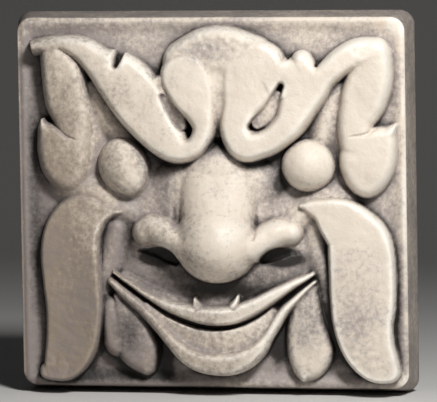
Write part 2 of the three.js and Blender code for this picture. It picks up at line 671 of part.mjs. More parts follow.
const object = new THREE.Group();
object.add(tile);

export default object;
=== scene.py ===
"""A cast stone wall tile with a grinning leaf mask in high relief, in plain studio light.

Millimetres are used for the carving, and metres for everything that goes into the scene.
x runs across the tile, z up it, and the mask looks towards -y.
"""
import math

import bpy
import numpy as np
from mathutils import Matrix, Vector


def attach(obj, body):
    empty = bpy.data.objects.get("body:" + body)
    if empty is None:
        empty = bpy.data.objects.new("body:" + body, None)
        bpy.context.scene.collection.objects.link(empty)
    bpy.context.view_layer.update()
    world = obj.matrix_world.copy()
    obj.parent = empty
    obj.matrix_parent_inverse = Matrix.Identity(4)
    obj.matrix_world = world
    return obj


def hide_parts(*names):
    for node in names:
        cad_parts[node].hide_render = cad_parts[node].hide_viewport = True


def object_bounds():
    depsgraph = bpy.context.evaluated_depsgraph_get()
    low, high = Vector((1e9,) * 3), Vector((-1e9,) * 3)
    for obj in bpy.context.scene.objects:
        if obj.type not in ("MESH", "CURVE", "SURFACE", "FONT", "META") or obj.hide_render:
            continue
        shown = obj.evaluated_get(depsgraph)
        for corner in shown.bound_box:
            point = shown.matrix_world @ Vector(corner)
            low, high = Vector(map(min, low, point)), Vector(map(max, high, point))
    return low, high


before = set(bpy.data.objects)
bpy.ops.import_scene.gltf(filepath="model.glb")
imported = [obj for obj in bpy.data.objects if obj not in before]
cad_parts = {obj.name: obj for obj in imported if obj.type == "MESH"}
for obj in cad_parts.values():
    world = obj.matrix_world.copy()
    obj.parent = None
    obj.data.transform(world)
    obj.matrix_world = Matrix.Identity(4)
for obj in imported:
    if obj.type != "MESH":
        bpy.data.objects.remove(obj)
cad_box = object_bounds()

MM = 0.001

# The slab, as the construction has it.
FRONT_WIDTH = 191.0
FRONT_HEIGHT = 181.5
THICKNESS = 26.0
FLARE = 4.5
CORNER_RADIUS = 7.0
BACK_ROUNDING = 1.6
ARRIS_ROUNDING = 1.3
LEAN = 3.0
RIM_LEDGE = 0.5
RIM_WIDTH = 8.0
FIELD_DEPTH = 2.4

# How far each part of the mask stands in front of the rim.
NOSE_HEIGHT = 27.3
WING_HEIGHT = 18.0
LIP_HEIGHT = 15.0
CHIN_HEIGHT = 15.5
EYE_HEIGHT = 14.0
LOCK_HEIGHT = 13.5
CREST_HEIGHT = 11.5
WHISKER_HEIGHT = 11.0
EAR_HEIGHT = 9.5
CHEEK_HEIGHT = 6.0
LEAF_HEIGHT = 6.5
MUZZLE_HEIGHT = 3.0
BROW_HEIGHT = 5.5
FACE_HEIGHT = 3.5

# How widely an edge of the carving rolls over.
CRISP_EDGE = 3.0
FIRM_EDGE = 4.0
LOCK_EDGE = 5.0
SOFT_EDGE = 6.0
FULL_EDGE = 9.0
NOSE_EDGE = 21.0

# How much the tops of the carving are crowned or dished, and how steeply some tilt across their run.
CROWN = 1.2
SLIGHT_CROWN = 0.8
LOW_CROWN = 0.6
FLAT = 0.0
DISH = -1.1
EAR_TILT = 0.08
WHISKER_TILT = 0.2
CHIN_TILT = 0.2
LIP_TILT = 0.3

# The levels where the carving's walls start and where its cuts stop, and how deep its fine lines are.
WALL_FOOT = -4.0
FACE_FOOT = -6.0
MUZZLE_FOOT = -2.0
EYE_FOOT = -1.0
FACET_FOOT = 4.0
NOSE_FOOT = 0.0
NOSTRIL_FLOOR = 1.2
MOUTH_FLOOR = 5.0
CREASE_DEPTH = 1.0
SCRATCH_DEPTH = 0.45

# The left eye is turned by so many degrees and has a facet of this share of its height. The tip of
# the nose stands this share of the nose's height high.
EYE_TURN = 20
FACET_SHARE = 0.93
TIP_SHARE = 0.99

# How forms run into each other: from the crease at a cut to a broad hollow.
CUT_BLEND = 0.6
CRISP_BLEND = 0.8
CLOSE_BLEND = 1.0
PLAIN_BLEND = 1.2
EASY_BLEND = 1.5
SOFT_BLEND = 2.0
WIDE_BLEND = 3.0
BROAD_BLEND = 4.0

# The section of a raised form: its wall, the power of its rounded edge, how much crisper a bite's
# edge is, and the share of its half width in which a swell or a slope rises. A boss falls on beyond
# its edge by so much in a radius, out to so many radii. A line has so many steps between two
# stations, and its half width may grow by so much of its length.
WALL_SLOPE = 6.0
WALL_REACH = 5.0
EDGE_POWER = 2.3
BITE_CRISPNESS = 2.2
SWELL_SHOULDER = 0.6
SLOPE_SHOULDER = 1.0
BOSS_FALL = 15.0
BOSS_REACH = 2.0
STEPS_PER_SPAN = 6
MOST_GROWTH = 0.95
SMALLEST = 1e-9

# Places in the carving are hundredths of the front's half width and half height.
SHARE_X = FRONT_WIDTH / 200
SHARE_Z = FRONT_HEIGHT / 200

# The mesh of the front: its lines, how strongly they draw together on steep places, up to the
# steepest slope that counts, how far that slope is blurred, on every how many lines and for how many
# rounds the mesh is relaxed, and how far each round goes.
COLUMNS = 284
ROWS = 272
CROWDING = 2.2
STEEPEST = 1.5
SLOPE_BLUR = 0.7
RELAXING = ((4, 220), (2, 50), (1, 25))
RELAX_STEP = 0.8

# The square of samples that the carving is read from, and how far back from its end a reading stops.
SAMPLES = 400
END_MARGIN = 1.001
SAMPLE_STEP = FRONT_WIDTH / (SAMPLES - 1)

# The rings behind the front: the first one's depth behind the rim and how far out it stands, how many
# run down the walls, the turns at which they round the back's edge, and the shares that close it.
FIRST_RING = 1.2
FIRST_OUT = 0.35
WALL_RINGS = 8
EDGE_TURNS = (30, 60, 90)
BACK_SHARES = (0.92, 0.66, 0.33)

# The arris: the blend at its corners, and the share of its rounding that it falls by. It is worn
# rounder towards the left, by a share that sets in at a share of the half width. Handwork fades out
# within this distance of it.
ARRIS_BLEND = 1.0
ARRIS_FALL = 0.5
LEFT_WEAR = 1.6
LEFT_START = 0.7
HANDWORK_FADE = 6.0

# How shut in a place is, seen in so many directions and at these distances in mm, and how hollow it
# is, under the relief blurred over this reach. A blur's kernel ends at so many standard deviations.
DIRECTIONS = 16
DISTANCES = (1.5, 3, 5, 8, 12, 17, 24)
HOLLOW_BLUR = 2.0
BLUR_SPAN = 3

# Noise: its lattice's side, and each octave's amount in mm, size in mm and seed. The larger octaves of
# the handwork set in between two heights, and the rough places are sunk by a share of their amount.
LATTICE = 256
PROUD_WORK = ((0.45, 17, 1), (0.22, 7, 2), (0.1, 2.6, 3))
PROUD_FROM, PROUD_TO = -3, 2
FINE_WORK = ((0.12, 4, 4),)
ROUGH_WORK = ((1.0, 2.3, 5), (0.6, 1.3, 6))
ROUGH_SINK = 0.3

# The painted shade and thick wash of the low corners fade out upwards between these heights.
SHADE_FROM, SHADE_TO = 12, 4


def smooth_max(a, b, blend):
    """The larger of two heights, rounded where they meet: half the sum plus half the hypotenuse of
    their difference and the blend."""
    return 0.5 * (a + b + np.hypot(a - b, blend))


def smooth_min(a, b, blend):
    """The smaller of two heights, rounded where they meet."""
    return 0.5 * (a + b - np.hypot(a - b, blend))


def smooth_step(low, high, value):
    """0 below low, 1 above high, and the cubic 3t^2 - 2t^3 between them."""
    t = np.clip((value - low) / (high - low), 0, 1)
    return t * t * (3 - 2 * t)


def smooth_line(stations):
    """A Catmull-Rom line through stations [x, z, half width, share of height], as (n, 4) in mm."""
    knots = np.array(stations, float)
    knots = np.vstack([knots[:1], knots, knots[-1:]])
    t = np.arange(STEPS_PER_SPAN)[None, :, None] / STEPS_PER_SPAN
    a, b, c, d = (knots[k:len(knots) - 3 + k, None, :] for k in range(4))
    bend, twist = 2 * a - 5 * b + 4 * c - d, 3 * b - a - 3 * c + d
    spans = 0.5 * (2 * b + (c - a) * t + bend * t ** 2 + twist * t ** 3)
    line = np.vstack([spans.reshape(-1, knots.shape[1]), knots[-1:]])
    return line * [SHARE_X, SHARE_Z, SHARE_X, 1.0]


def fine_line(stations):
    """A smooth line through stations [x, z, half width] of a bite, a cut or a groove."""
    return smooth_line([[*station, 1] for station in stations])


def near_to(lines, x, z):
    """Which points lie in the box round some lines, widened by their reach."""
    points = np.vstack(lines)
    reach = points[:, 2].max() + WALL_REACH
    low, high = points.min(0) - reach, points.max(0) + reach
    return (x > low[0]) & (x < high[0]) & (z > low[1]) & (z < high[1])


def depth_inside(line, x, z):
    """How deep points lie inside the band round a line of round cones: the largest of the half width
    less the distance, which on a cone lies ahead of the foot of the perpendicular by the offset times
    g / (1 - g^2)^0.5, for a growth g. Gives the depth, and there the half width, the share of the
    height and the offset from the line, which is positive to the left of its run."""
    depth = np.full(x.shape, -np.inf)
    half, share, side = np.ones_like(x), np.ones_like(x), np.zeros_like(x)
    for a, b in zip(line[:-1], line[1:]):
        run_x, run_z = b[0] - a[0], b[1] - a[1]
        length = max(math.hypot(run_x, run_z), SMALLEST)
        growth = min(max((b[2] - a[2]) / length, -MOST_GROWTH), MOST_GROWTH)
        away_x, away_z = x - a[0], z - a[1]
        side_here = (run_x * away_z - run_z * away_x) / length
        ahead = abs(side_here) * growth / math.sqrt(1 - growth ** 2)
        t = np.clip(((away_x * run_x + away_z * run_z) / length + ahead) / length, 0, 1)
        half_here = a[2] + (b[2] - a[2]) * t
        depth_here = half_here - np.hypot(away_x - run_x * t, away_z - run_z * t)
        nearer = depth_here > depth
        depth = np.where(nearer, depth_here, depth)
        half = np.where(nearer, half_here, half)
        share = np.where(nearer, a[3] + (b[3] - a[3]) * t, share)
        side = np.where(nearer, side_here, side)
    return depth, half, share, side


def band(h, x, z, height, edge, crown, *parts, bites=(), blend=PLAIN_BLEND, foot=WALL_FOOT, tilt=0.0):
    """Raises a form made of bands that flow into each other, less some bites: a steep wall, then a
    rounded edge that rises as (1 - (1 - depth / edge)^2.3)^0.5, then a top that is crowned or dished,
    and tilted across the band by a slope that is positive where it climbs to the left of its run."""
    lines = [smooth_line(part) for part in parts]
    near = near_to(lines, x, z)
    px, pz = x[near], z[near]
    best = depth_inside(lines[0], px, pz)
    for line in lines[1:]:
        other = depth_inside(line, px, pz)
        best = [np.where(other[0] > best[0], theirs, ours) for theirs, ours in zip(other, best)]
    depth, half, share, side = best
    for bite in bites:
        bitten = depth_inside(fine_line(bite), px, pz)[0]
        depth = np.minimum(depth, -BITE_CRISPNESS * bitten)
    inside = np.maximum(depth, 0)
    roll = 1 - np.clip(inside / np.minimum(edge, half), 0, 1)
    middle = 1 - np.clip(inside / half, 0, 1)
    rise = (height * share - foot + tilt * side) * np.sqrt(1 - roll ** EDGE_POWER)
    top = foot + WALL_SLOPE * np.minimum(depth, 0) + rise + crown * (1 - middle ** 2) * (depth > 0)
    raised = h.copy()
    raised[near] = smooth_max(h[near], top, blend)
    return raised


def boss(h, x, z, height, centre, halves, foot, blend, turn=0.0):
    """Raises a domed boss, an ellipse in plan: its height over the foot is that of an ellipsoid, and
    beyond its edge it falls on evenly."""
    cos, sin = math.cos(math.radians(turn)), math.sin(math.radians(turn))
    dx, dz = x - centre[0] * SHARE_X, z - centre[1] * SHARE_Z
    across = (cos * dx + sin * dz) / (halves[0] * SHARE_X)
    up = (cos * dz - sin * dx) / (halves[1] * SHARE_X)
    out = np.hypot(across, up)
    rise = (height - foot) * np.sqrt(np.clip(1 - out * out, 0, 1))
    dome = np.where(out < 1, rise, BOSS_FALL * (1 - out))
    return np.where(out > BOSS_REACH, h, smooth_max(h, foot + dome, blend))


def cut(h, x, z, floor, stations):
    """Cuts along a line, down to a floor, with walls of the carving's slope."""
    line = fine_line(stations)
    near = near_to([line], x, z)
    depth = depth_inside(line, x[near], z[near])[0]
    lowered = h.copy()
    lowered[near] = smooth_min(h[near], floor - WALL_SLOPE * np.minimum(depth, 0), CUT_BLEND)
    return lowered


def swell(h, x, z, height, *parts, blend=EASY_BLEND, shoulder=SWELL_SHOULDER):
    """Raises soft ground round lines: the height times the smooth step of depth over a share of the
    half width, so that the ground is level along the line and has no wall."""
    raised = h
    for part in parts:
        line = smooth_line(part)
        near = near_to([line], x, z)
        depth, half, share, _ = depth_inside(line, x[near], z[near])
        level = smooth_step(0, shoulder, depth / half)
        raised = raised.copy()
        ground = WALL_FOOT + (height * share - WALL_FOOT) * level
        raised[near] = smooth_max(raised[near], ground, blend * level)
    return raised


def groove(h, x, z, depth_mm, stations):
    """Lowers the surface along a line, by a depth times the smooth step of depth over half width."""
    line = fine_line(stations)
    near = near_to([line], x, z)
    depth, half, _, _ = depth_inside(line, x[near], z[near])
    lowered = h.copy()
    lowered[near] -= depth_mm * smooth_step(0, 1, depth / half)
    return lowered


def field(x, z):
    """The dished field: level at the rim, then a smooth fall to its full depth."""
    inset = -smooth_max(abs(x) - FRONT_WIDTH / 2, abs(z) - FRONT_HEIGHT / 2, CORNER_RADIUS / 2)
    return -FIELD_DEPTH * smooth_step(RIM_LEDGE, RIM_WIDTH, inset)


def add_face(h, x, z):
    """The plate of the face, the brow between the eyes, and the soft ground of the cheeks and the
    flanks that the ears and whiskers rise from."""
    h = boss(h, x, z, FACE_HEIGHT, [1.5, -18], [54, 37], FACE_FOOT, WIDE_BLEND)
    h = boss(h, x, z, BROW_HEIGHT, [3, 8], [34, 22], WALL_FOOT, BROAD_BLEND)
    h = swell(h, x, z, CHEEK_HEIGHT,
              [[-78, 8, 12, 0.6], [-69, 7, 17, 0.8], [-59.5, 4, 18, 0.85], [-50, -1.5, 16, 0.75],
               [-42, -6, 13, 0.5]],
              [[68, 0, 13, 0.7], [60, 1, 16, 0.85], [52, -3, 16, 0.95], [44, -8, 15, 0.85],
               [36, -11, 12, 0.5]],
              [[-50, -14, 12, 0.5], [-53, -26, 12, 0.45], [-56, -38, 11.5, 0.65], [-57, -50, 10.5, 0.7]],
              [[53, -12, 12, 0.6], [55, -26, 13, 0.5], [58, -38, 12, 0.65], [59, -50, 11, 0.7],
               [61, -62, 11, 0.6], [62, -72, 10, 0.4]],
              [[-72, 60, 12, 0.8], [-68, 52, 16, 0.75], [-66, 42, 17, 0.75], [-66, 30, 17, 0.75],
               [-68, 16, 14, 0.7]],
              [[69, 60, 12, 0.6], [70, 47, 15, 0.6], [72, 32, 15, 0.65], [75, 16, 15, 0.7]],
              [[-62, 64, 10, 0.55], [-58, 54, 13, 0.6], [-52, 43, 13, 0.5], [-42, 32, 10, 0.2]],
              [[66, 64, 10, 0.5], [62, 53, 13, 0.6], [59, 41, 13, 0.55], [56, 31, 9, 0.3]],
              shoulder=SLOPE_SHOULDER)
    return band(h, x, z, BROW_HEIGHT, FIRM_EDGE, FLAT, [[4, 29, 4, 0.9], [3.5, 24, 8, 0.9]],
                blend=CLOSE_BLEND)


def add_ears(h, x, z):
    """Each ear is a long leaf that runs on into a second, pointed leaf below it."""
    h = band(h, x, z, EAR_HEIGHT, SOFT_EDGE, CROWN, [
        [-80.5, 79, 8, 1.15], [-76, 70, 12, 1.1], [-75, 62, 12.4, 1], [-74, 55, 12.4, 0.9],
        [-71.8, 47, 11.2, 0.87], [-71, 38, 10.2, 0.86], [-72.5, 27, 10, 0.86]], [
        [-87, 45, 1, 0.7], [-86, 40, 4.5, 0.75], [-81.5, 33.5, 9.5, 0.84], [-77, 28, 14, 0.86],
        [-76, 21.5, 13.5, 0.8], [-74, 15, 10, 0.7], [-72, 10.5, 5, 0.6]], tilt=EAR_TILT)
    h = band(h, x, z, EAR_HEIGHT, SOFT_EDGE, CROWN, [
        [85, 79.5, 9.5, 1.1], [82.5, 67.5, 12.5, 1.05], [79.5, 58, 12.9, 0.98], [77.5, 51.6, 11.7, 0.94],
        [75.3, 45, 10.4, 0.92], [75, 37, 9.8, 0.92], [76.5, 27, 9.5, 0.92]], [
        [95, 41.5, 1.5, 0.7], [92, 37.5, 4.5, 0.8], [87, 31.5, 10, 0.9], [81.5, 25.5, 15, 0.92],
        [80.5, 19.5, 14, 0.9], [80, 14, 11, 0.8], [80, 9, 6, 0.65]])
    h = groove(h, x, z, CREASE_DEPTH, [[-81, 42, 1], [-75, 36.5, 1.5], [-69, 34, 0.6]])
    return groove(h, x, z, CREASE_DEPTH, [[86, 40, 1], [80, 37, 1.5], [73, 36, 0.6]])


def add_locks(h, x, z):
    """The crest, and the two forehead locks: each comes in from a top corner, turns up beside the
    middle and ends in a broad curl, with slits and notches bitten out of it."""
    h = band(h, x, z, CREST_HEIGHT, SOFT_EDGE, CROWN, [
        [-12, 76, 12.5, 0.85], [-1.5, 81, 13.5, 0.95], [8.5, 82, 13.5, 1], [21.5, 77.5, 13.5, 0.95]],
        blend=SOFT_BLEND)
    h = swell(h, x, z, LOCK_HEIGHT,
              [[6, 77, 13, 0.78], [5.5, 70, 14, 0.84], [5, 60, 13, 0.84], [4, 48, 10, 0.7],
               [4, 38, 5, 0.3]],
              [[-25, 65, 6, 0.75], [-21.5, 57, 8, 0.68], [-18, 49, 8, 0.6], [-15, 42, 6, 0.52]],
              [[35, 57, 7, 0.6], [29, 47, 8, 0.58], [25, 43, 6, 0.56]])
    h = band(h, x, z, LOCK_HEIGHT, LOCK_EDGE, CROWN, [
        [-90.5, 84.3, 4.6, 0.72], [-83, 85, 5.4, 0.77], [-74.5, 85.5, 5.5, 0.82], [-65, 82.5, 7.5, 0.88],
        [-55.5, 74.5, 9.5, 0.9], [-45.5, 67, 14, 0.92], [-35.5, 54.5, 15.5, 0.95],
        [-27.5, 42.5, 13.5, 0.97], [-20, 32, 10, 1], [-13.5, 28.5, 7.5, 1], [-6.5, 31, 6.5, 1],
        [-2.5, 40.5, 7, 1], [-4.5, 51, 10, 0.97], [-8, 59.5, 13.5, 0.95], [-11.5, 67.5, 14.5, 0.9]],
        bites=[[[-99, 95, 5], [-98.5, 86, 5.2], [-96, 77, 5]],
               [[-45.5, 88, 4], [-46, 80.5, 2], [-47.5, 74, 0.3]],
               [[-23, 57.5, 0.4], [-19, 51, 1.6], [-15.5, 45.5, 2.3], [-13, 40.5, 1.5]]])
    return band(h, x, z, LOCK_HEIGHT, LOCK_EDGE, CROWN, [
        [86, 82.5, 7, 0.75], [77, 80.5, 8.5, 0.85], [68.5, 76, 8, 0.9], [59.5, 68, 7.5, 0.92],
        [52, 61.5, 10.5, 0.93], [46.5, 54.5, 11, 0.95], [41.5, 43.5, 9, 1], [34, 35.5, 8, 1],
        [26, 31.5, 8, 1], [18, 31.5, 9.5, 1], [14, 40.5, 9.5, 0.97], [16.5, 51.5, 11, 0.95],
        [19.5, 60, 14, 0.93], [22, 67, 16.5, 0.9], [24.5, 71, 17, 0.9]],
        [[48, 76.6, 6, 0.9], [48.5, 72, 7.8, 0.92], [47, 68, 9, 0.92], [45, 60, 11, 0.93]],
        [[26, 67, 12, 0.91], [38, 67, 11.5, 0.92], [48, 67, 11.5, 0.92]],
        bites=[[[37.5, 63, 0.4], [34.5, 56.5, 1.4], [31, 49, 2.6], [26.5, 44.5, 2.6], [22.5, 41, 1.2]],
               [[40.5, 88, 4.5], [40.8, 82.5, 2.2], [41, 78, 0.3]],
               [[56.5, 87, 3.5], [56, 80, 1.4], [55.5, 74, 0.3]]])


def add_whiskers(h, x, z):
    """The two broad whisker leaves: the left one is dished and leans outwards, the right one is flat,
    and both start as a narrow tongue on the cheek."""
    h = band(h, x, z, WHISKER_HEIGHT, CRISP_EDGE, DISH, [
        [-47, -5, 1.5, 0.65], [-53.5, -5, 4, 0.7], [-60.5, -7, 7.5, 0.74], [-68, -9.5, 13, 0.77],
        [-72.5, -16.5, 15.3, 0.78], [-74, -27.5, 16.3, 0.8], [-73, -42.5, 16.3, 0.8],
        [-72, -58, 15.8, 0.8],
        [-73.5, -74, 14.5, 0.8], [-77, -85, 12, 0.8], [-82.5, -91, 7, 0.8], [-86.5, -92.5, 5, 0.76]],
        tilt=WHISKER_TILT)
    return band(h, x, z, WHISKER_HEIGHT, CRISP_EDGE, SLIGHT_CROWN, [
        [46, -1.5, 1, 0.6], [51, -2, 4, 0.72], [59, -4.5, 7.5, 0.84], [67, -10, 12.5, 0.94],
        [74.5, -18.5, 15.5, 1], [77, -27.5, 17.5, 1.04], [77.5, -51.5, 17.5, 1.04], [77.5, -65, 16, 1.04],
        [80, -77, 14, 1.04], [84.5, -85, 11.5, 1], [90, -90, 7, 0.9]])


def add_beard_leaves(h, x, z):
    """The two broad leaves between the whiskers and the chin."""
    h = band(h, x, z, LEAF_HEIGHT, SOFT_EDGE, LOW_CROWN, [
        [-50, -51, 2.5, 0.8], [-47, -58, 7, 0.9], [-43, -66, 10.5, 0.95], [-41, -75, 12.5, 1],
        [-38, -81.5, 11, 1], [-35, -89, 6, 0.95]],
        [[-53.5, -56, 6, 0.85], [-51.5, -67, 8, 0.92], [-48.5, -75, 10, 0.96]])
    return band(h, x, z, LEAF_HEIGHT, SOFT_EDGE, SLIGHT_CROWN, [
        [52, -46, 4, 0.75], [49, -53, 8.6, 0.85], [48.5, -62, 10.4, 0.92], [49.2, -70.5, 12, 0.96],
        [50, -78, 12.8, 1], [49.5, -85, 10.6, 1], [47.5, -91, 6, 1], [46.3, -96, 1.2, 0.9]],
        blend=CRISP_BLEND)


def add_mouth(h, x, z):
    """The lower lip's slope into the mouth, its rim, which broadens into the chin, the muzzle, and the
    upper lip, which rises out of the muzzle in a hollow slope and carries two small fangs."""
    h = swell(h, x, z, CHIN_HEIGHT, [
        [-34, -56, 3.5, 0.54], [-26, -62.5, 6.5, 0.6], [-17.5, -69.5, 10, 0.64], [-7.5, -74.5, 12, 0.65],
        [4.5, -75, 14, 0.65], [16, -73, 13, 0.64], [25, -66.5, 10, 0.6], [31, -60.5, 6.5, 0.45]])
    h = band(h, x, z, CHIN_HEIGHT, FIRM_EDGE, SLIGHT_CROWN, [
        [-52.5, -42.8, 2.4, 0.46], [-47.8, -47.3, 3.4, 0.53], [-43, -51.6, 4.1, 0.59],
        [-38.4, -55.4, 4.4, 0.64], [-32.4, -61.2, 4.4, 0.71], [-26.8, -67.6, 4.4, 0.78],
        [-20.5, -75, 4.8, 0.87], [-13.5, -81.8, 5.8, 0.94],
        [-5, -86, 6.6, 0.99], [6.5, -87, 7, 1], [16, -84.5, 6.4, 0.98], [24, -78.5, 5, 0.9],
        [29.5, -71, 3.7, 0.8], [33.5, -64, 3.6, 0.74], [37.5, -58, 3.3, 0.66], [43.5, -51.5, 2.5, 0.58],
        [49, -46, 1.8, 0.52], [53, -42.5, 1.2, 0.46]],
        blend=SOFT_BLEND, tilt=CHIN_TILT)
    h = boss(h, x, z, MUZZLE_HEIGHT, [2.5, -34], [50.5, 26], MUZZLE_FOOT, WIDE_BLEND)
    h = swell(h, x, z, LIP_HEIGHT, [
        [-46, -41, 7, 0.36], [-32, -50, 10, 0.44], [-22, -55.5, 12, 0.5], [-10, -59.5, 14.5, 0.56],
        [4, -61, 16, 0.58], [17, -58.5, 15, 0.56], [27, -53, 12.5, 0.52], [37, -47, 10, 0.46],
        [48, -40.5, 7, 0.38]],
        blend=SOFT_BLEND, shoulder=SLOPE_SHOULDER)
    h = band(h, x, z, LIP_HEIGHT, CRISP_EDGE, FLAT, [
        [-51, -38, 1, 0.46], [-46, -41.5, 1.5, 0.53], [-41.5, -44.5, 2, 0.6], [-32, -51, 2.7, 0.7],
        [-22, -56, 3.7, 0.83], [-11.5, -59.3, 4.7, 0.93], [-5, -60.8, 5.2, 0.97], [1.5, -61.3, 5.5, 1],
        [7, -61, 5.5, 1], [12.5, -60, 5.4, 0.97], [22.5, -55.5, 4.8, 0.87], [32.5, -49.5, 4, 0.77],
        [42.5, -43.5, 3, 0.67], [47.5, -41, 2.3, 0.57], [52, -38.3, 1.5, 0.5]],
        [[-7.5, -57, 3.8, 0.8], [-8.8, -52, 1, 0.6]],
        [[12, -56.5, 4, 0.8], [13.6, -50.5, 1, 0.62]],
        blend=SOFT_BLEND, tilt=LIP_TILT)
    return cut(h, x, z, MOUTH_FLOOR, [
        [-50, -40, 0.1], [-42, -46.5, 0.15], [-33, -53.6, 0.25], [-23.5, -60.1, 0.35],
        [-12.5, -65.1, 0.5], [1, -67.6, 0.6], [13, -66.2, 0.55], [23.5, -61.4, 0.4],
        [33.5, -54.2, 0.25], [43.5, -47, 0.15], [52, -41, 0.1]])


def add_nose(h, x, z):
    """The nose swells from under the locks to its tip, and its wings stand over the nostrils."""
    h = band(h, x, z, WING_HEIGHT, FULL_EDGE, FLAT, [
        [-34, -16, 8, 0.66], [-28.5, -14.7, 9, 0.8], [-21.7, -17.6, 9.2, 0.9], [-12, -24, 9, 1]],
        blend=SOFT_BLEND)
    h = band(h, x, z, WING_HEIGHT, FULL_EDGE, FLAT, [
        [40.5, -15.5, 7.4, 0.7], [35, -15.8, 8.4, 0.82], [28.3, -19, 8.8, 0.92], [20.5, -24, 9, 1]],
        blend=SOFT_BLEND)
    h = band(h, x, z, NOSE_HEIGHT, NOSE_EDGE, FLAT, [
        [3.5, 14, 17.5, 0.36], [3.5, 4, 19.5, 0.5], [3.5, -5, 20, 0.66], [3.5, -13, 19, 0.8]],
        blend=SOFT_BLEND, foot=NOSE_FOOT)
    h = boss(h, x, z, NOSE_HEIGHT * TIP_SHARE, [3, -21.5], [22.5, 21.5], NOSE_FOOT, WIDE_BLEND)
    h = groove(h, x, z, CREASE_DEPTH, [[-19.5, -3, 1], [-18.8, -9, 1.6], [-17, -15, 1]])
    h = groove(h, x, z, CREASE_DEPTH, [[23.5, -7, 1], [23.5, -13, 1.6], [23, -19, 1]])
    h = cut(h, x, z, NOSTRIL_FLOOR, [
        [-38, -26, 0.6], [-33, -26.4, 1.3], [-28, -26.8, 2.3], [-23, -29.3, 2.6], [-18.5, -32.5, 1]])
    return cut(h, x, z, NOSTRIL_FLOOR, [
        [26.5, -31.5, 0.8], [31.5, -28.8, 2.5], [36.5, -26.8, 2.4], [41, -26.2, 1.4], [45, -26.8, 0.6]])


def add_eyes(h, x, z):
    """Two plain bulging eyes, the left one with a worn facet below its middle."""
    h = boss(h, x, z, EYE_HEIGHT, [-45.5, 19.5], [13, 15], EYE_FOOT, EASY_BLEND, turn=EYE_TURN)
    h = boss(h, x, z, EYE_HEIGHT * FACET_SHARE, [-42.5, 13.5], [8.5, 9], FACET_FOOT, CLOSE_BLEND)
    return boss(h, x, z, EYE_HEIGHT, [50.3, 20.3], [14, 13.7], EYE_FOOT, EASY_BLEND)


def relief(x, z):
    """The height of the front over the plane of its rim, in mm."""
    h = field(x, z)
    for add in (add_face, add_ears, add_locks, add_whiskers, add_beard_leaves, add_mouth, add_nose,
                add_eyes):
        h = add(h, x, z)
    return h


def sampled(values, x, z):
    """Reads a square of samples over the front at points, by bilinear interpolation."""
    i = np.clip((x / FRONT_WIDTH + 0.5) * (SAMPLES - 1), 0, SAMPLES - END_MARGIN)
    j = np.clip((z / FRONT_HEIGHT + 0.5) * (SAMPLES - 1), 0, SAMPLES - END_MARGIN)
    i0, j0 = i.astype(int), j.astype(int)
    s, t = i - i0, j - j0
    low = values[j0, i0] * (1 - s) + values[j0, i0 + 1] * s
    high = values[j0 + 1, i0] * (1 - s) + values[j0 + 1, i0 + 1] * s
    return low * (1 - t) + high * t


def round_corners(x, z):
    """Nested rounded rectangles: a point keeps its level, the larger of its shares of the half sizes,
    and where it lies past a corner's start it moves in to that level's arc."""
    level = np.maximum(abs(x) * 2 / FRONT_WIDTH, abs(z) * 2 / FRONT_HEIGHT)
    radius = CORNER_RADIUS * level
    core_x = np.maximum(FRONT_WIDTH / 2 * level - radius, 0)
    core_z = np.maximum(FRONT_HEIGHT / 2 * level - radius, 0)
    near_x, near_z = np.clip(x, -core_x, core_x), np.clip(z, -core_z, core_z)
    shrink = np.minimum(1, radius / np.maximum(np.hypot(x - near_x, z - near_z), SMALLEST))
    return near_x + (x - near_x) * shrink, near_z + (z - near_z) * shrink


def relax(plan, pull, rounds):
    """Moves each inner point of a grid towards the mean of its four neighbours, weighted by the pull
    halfway to each, so that lines draw together where the pull is strong and no cell turns over."""
    for _ in range(rounds):
        middle = (plan[:, :-1] + plan[:, 1:]) / 2
        side = sampled(pull, middle[..., 0], middle[..., 1])[1:-1, :, None]
        middle = (plan[:-1] + plan[1:]) / 2
        up = sampled(pull, middle[..., 0], middle[..., 1])[:, 1:-1, None]
        total = (side[:, :-1] * plan[1:-1, :-2] + side[:, 1:] * plan[1:-1, 2:]
                 + up[:-1] * plan[:-2, 1:-1] + up[1:] * plan[2:, 1:-1])
        mean = total / (side[:, :-1] + side[:, 1:] + up[:-1] + up[1:])
        plan[1:-1, 1:-1] += RELAX_STEP * (mean - plan[1:-1, 1:-1])
    return plan


def uniform_plan(columns, rows):
    """An even grid over the rounded rectangle of the front, as (rows + 1, columns + 1, 2) in mm."""
    x, z = np.meshgrid(np.linspace(-0.5, 0.5, columns + 1) * FRONT_WIDTH,
                       np.linspace(-0.5, 0.5, rows + 1) * FRONT_HEIGHT)
    return np.stack(round_corners(x, z), -1)


def carved_plan(pull):
    """The grid of the front, relaxed on a few of its lines first, then on more and then on all."""
    coarsest = RELAXING[0][0]
    shift = np.zeros((ROWS // coarsest + 1, COLUMNS // coarsest + 1, 2))
    for part, rounds in RELAXING:
        even = uniform_plan(COLUMNS // part, ROWS // part)
        if part < coarsest:
            shift = doubled(shift)
        plan = relax(even + shift, pull, rounds)
        shift = plan - even
    return plan


def doubled(values):
    """A grid of values with a new line halfway between each two."""
    rows = np.empty((2 * values.shape[0] - 1, *values.shape[1:]))
    rows[::2] = values
    rows[1::2] = (values[1:] + values[:-1]) / 2
    both = np.empty((rows.shape[0], 2 * rows.shape[1] - 1, *rows.shape[2:]))
    both[:, ::2] = rows
    both[:, 1::2] = (rows[:, 1:] + rows[:, :-1]) / 2
    return both


